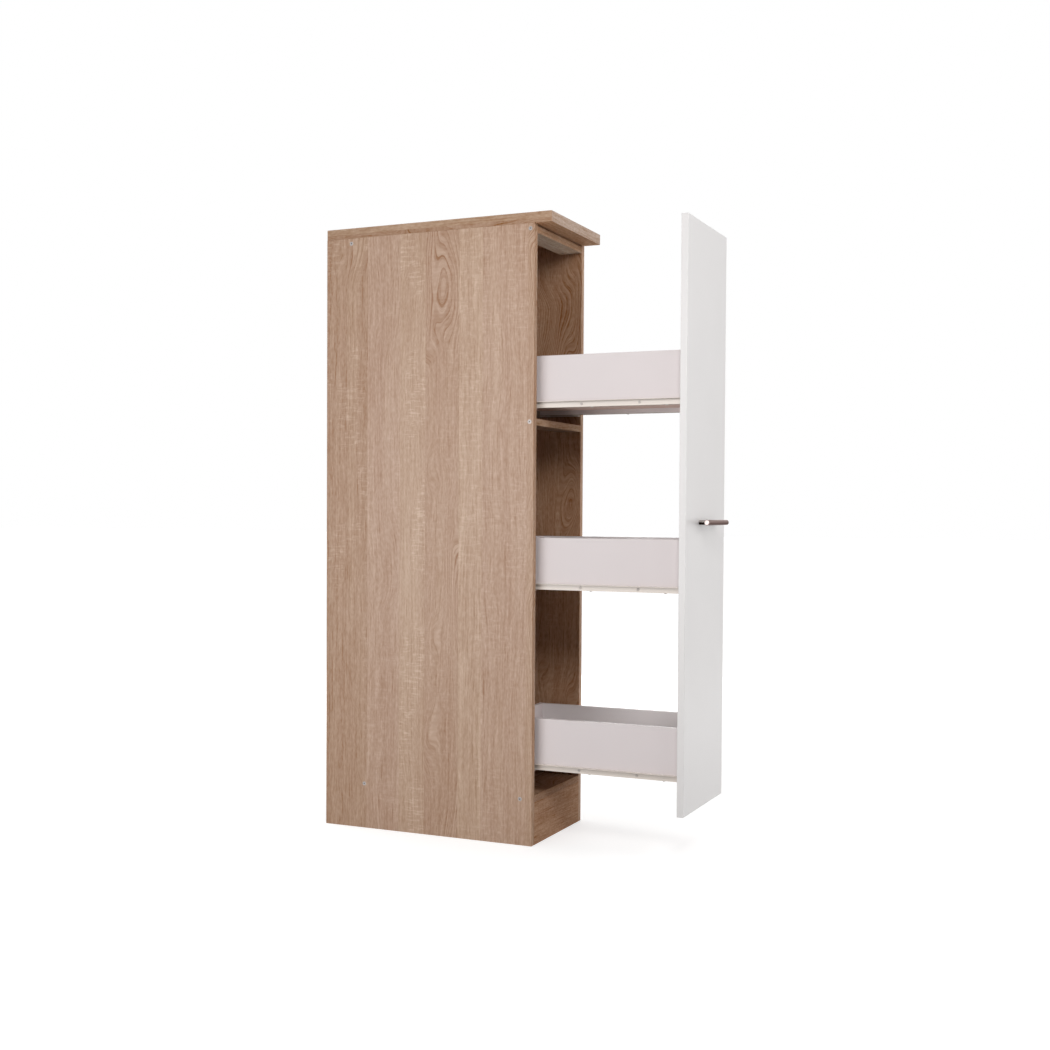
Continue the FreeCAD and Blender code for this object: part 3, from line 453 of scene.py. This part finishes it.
# Painted light and shade on undersides: the worktop's and top front rail's are lightened as if lit from
# below, the middle rail's is darkened as if in shade.
UNDERSIDE_PAINTED_LIGHT_AND_SHADE = {
    "worktop": (1.34, 1.23, 1.06, 1.0),
    "top_front_rail": (1.65, 2.1, 2.55, 1.0),
    "middle_rail": (0.62, 0.61, 0.61, 1.0),
}
UNDERSIDE_ROUGHNESS = 0.9
for board, layout in OAK_BOARDS.items():
    finish, tree, shader = oak_finish("oak_" + board, *layout)
    if board in PAINTED_LIGHT_BOARD_TINT:
        tint_faces(tree, shader, 1.0, PAINTED_LIGHT_BOARD_TINT[board])
    if board in EDGE_BAND_AND_SHEEN_TINT:
        tint_faces(tree, shader, faces_towards(tree, FORWARDS), EDGE_BAND_AND_SHEEN_TINT[board])
    if board in INNER_FACE_PAINTED_LIGHT_TINT:
        tint_faces(tree, shader, left_face(tree), INNER_FACE_PAINTED_LIGHT_TINT[board])
    if board in UNDERSIDE_PAINTED_LIGHT_AND_SHADE:
        tint_faces(tree, shader, faces_towards(tree, DOWN), UNDERSIDE_PAINTED_LIGHT_AND_SHADE[board], UNDERSIDE_ROUGHNESS)
    dress(board, finish)

# Finishes whose undersides are matt and carry painted shade: the tray bottom's underside is darkened and
# warmed, the runners' undersides darkened strongly, as if in shadow.
tray_floor, tree, shader = plain_finish("tray_bottom_lacquer")
tint_faces(tree, shader, faces_towards(tree, DOWN), paint(246, 218, 207), 1.0)
runner_coat, tree, shader = plain_finish("cream_runner_coat")
tint_faces(tree, shader, faces_towards(tree, DOWN), paint(134, 116, 109), 1.0)

# The handle's steel gets painted shade towards its underside, and a painted highlight on the bar's ends.
handle_steel, tree, shader = plain_finish(
    "brushed_handle_steel", Metallic=1.0, Specular_Tint=paint(205, 192, 189))
tint_faces(tree, shader, faces_towards(tree, DOWN, BAR_UNDERSIDE), paint(132, 122, 121))
# Painted highlight: the bar's end faces are lightened where the left lamp would shine on them.
brushed = shader.inputs["Base Color"].links[0].from_socket
painted_end_highlight = blend(tree, end_faces(tree), brushed, paint(199, 185, 181))
tree.links.new(painted_end_highlight, shader.inputs["Base Color"])
# Painted shade: the posts are a light steel, darkened nearly to black towards their undersides.
post_steel, tree, shader = plain_finish("post_steel_painted_shade", Metallic=1.0, Specular_Tint=paint(205, 197, 193))
tint_faces(tree, shader, faces_towards(tree, DOWN, POST_UNDERSIDE), paint(56, 49, 46))

FINISH_OF_SLOT = {
    "white_front": plain_finish("white_front_melamine")[0],
    "tray_board": plain_finish("tray_white_foil")[0],
    "tray_bottom": tray_floor,
    "hardboard": plain_finish("brown_hardboard")[0],
    "beech": plain_finish("beech_dowel")[0],
    "runner_steel": runner_coat,
    "roller_nylon": plain_finish("roller_nylon")[0],
    "zinc_steel": plain_finish("zinc_plate", Metallic=1.0)[0],
    "handle_steel": handle_steel,
}
for subpart in frame["record"]["subparts"]:
    if subpart["material_slot"] in FINISH_OF_SLOT:
        dress(subpart["node"], FINISH_OF_SLOT[subpart["material_slot"]])
dress("connecting_screws", plain_finish("dull_screw_zinc", Metallic=1.0)[0])
dress("tray_runner_screws", plain_finish("pale_runner_screw_zinc")[0])
dress("handle_posts", post_steel)

# Painted light: the inner faces of the trays' sides are lightened over the outer ones, where the studio
# light leaves them darker.
TRAY_INSIDE_PAINTED_LIGHT = (1.16, 1.2, 1.2, 1.0)
for side, inwards in (("left", ACROSS_X), ("right", AGAINST_X)):
    tray_side, tree, shader = plain_finish(f"tray_{side}_foil", "tray_white_foil")
    tint_faces(tree, shader, faces_towards(tree, inwards), TRAY_INSIDE_PAINTED_LIGHT)
    for level in LEVELS:
        dress(f"{level}_tray_{side}_side", tray_side)


def background_rays(tree):
    """1 for rays that see the background: straight from the camera, mirrored or through glass."""
    path = put(tree, "LightPath").outputs
    seen = sums(tree, "MAXIMUM", path["Is Camera Ray"], path["Is Glossy Ray"])
    return sums(tree, "MAXIMUM", seen, path["Is Transmission Ray"])


def studio_floor():
    """A plain pale floor that keeps the cabinet's soft shadow and turns to white further out."""
    mesh = bpy.data.meshes.new("studio_floor")
    shape = bmesh.new()
    bmesh.ops.create_grid(shape, x_segments=1, y_segments=1, size=FLOOR_SIZE)
    shape.to_mesh(mesh)
    shape.free()
    floor = bpy.data.objects.new("studio_floor", mesh)
    bpy.context.scene.collection.objects.link(floor)
    finish, tree, shader = new_finish(
        "floor_white", Base_Color=FLOOR_GREY, Roughness=FLOOR_ROUGHNESS, Emission_Color=WHITE)
    position = put(tree, "TexCoord").outputs["Object"]
    reach = put(tree, "VectorMath", {0: position}, operation="LENGTH").outputs["Value"]
    fade = between(tree, reach, *FLOOR_FADE)
    lift = sums(tree, "ADD", sums(tree, "MULTIPLY", fade, 1.0 - FLOOR_GLOW), FLOOR_GLOW)
    glow = sums(tree, "MULTIPLY", background_rays(tree), lift)
    tree.links.new(glow, shader.inputs["Emission Strength"])
    mesh.materials.append(finish)


def studio_air(ambient):
    """A white background for the camera, and a dimmer even light from all round."""
    world = bpy.data.worlds.new("studio_air")
    world.use_nodes = True
    tree = world.node_tree
    background = tree.nodes["Background"]
    seen = background_rays(tree)
    level = sums(tree, "ADD", ambient, sums(tree, "MULTIPLY", seen, 1.0 - ambient))
    tree.links.new(level, background.inputs["Strength"])
    background.inputs["Color"].default_value = WHITE
    bpy.context.scene.world = world


def softbox(name, place, aim, width, height, watts):
    """A soft lamp that faces a point."""
    lamp = bpy.data.lights.new(name, "AREA")
    lamp.shape = "RECTANGLE"
    lamp.size = width
    lamp.size_y = height
    lamp.energy = watts
    holder = bpy.data.objects.new(name, lamp)
    holder.location = place
    holder.rotation_euler = (Vector(aim) - Vector(place)).to_track_quat("-Z", "Y").to_euler()
    bpy.context.scene.collection.objects.link(holder)


def photo_camera():
    """The camera of the photograph, level with the middle of the cabinet and off its left front corner."""
    lens = bpy.data.cameras.new("photo_camera")
    lens.lens = LENS_LENGTH
    lens.sensor_width = SENSOR_WIDTH
    lens.shift_x, lens.shift_y = LENS_SHIFT
    lens.clip_end = SIGHT_END
    forward = Vector(CAMERA_FORWARD).normalized()
    right = Vector(CAMERA_RIGHT).normalized()
    up = right.cross(forward)
    turn = Matrix((right, up, -forward)).transposed().to_4x4()
    holder = bpy.data.objects.new("photo_camera", lens)
    holder.matrix_world = Matrix.Translation(CAMERA_PLACE) @ turn
    bpy.context.scene.collection.objects.link(holder)
    bpy.context.scene.camera = holder


studio_floor()
studio_air(AMBIENT_LIGHT)
for name, setting in SOFTBOXES.items():
    softbox(name, *setting)
photo_camera()

bpy.context.scene.view_settings.view_transform = "Standard"
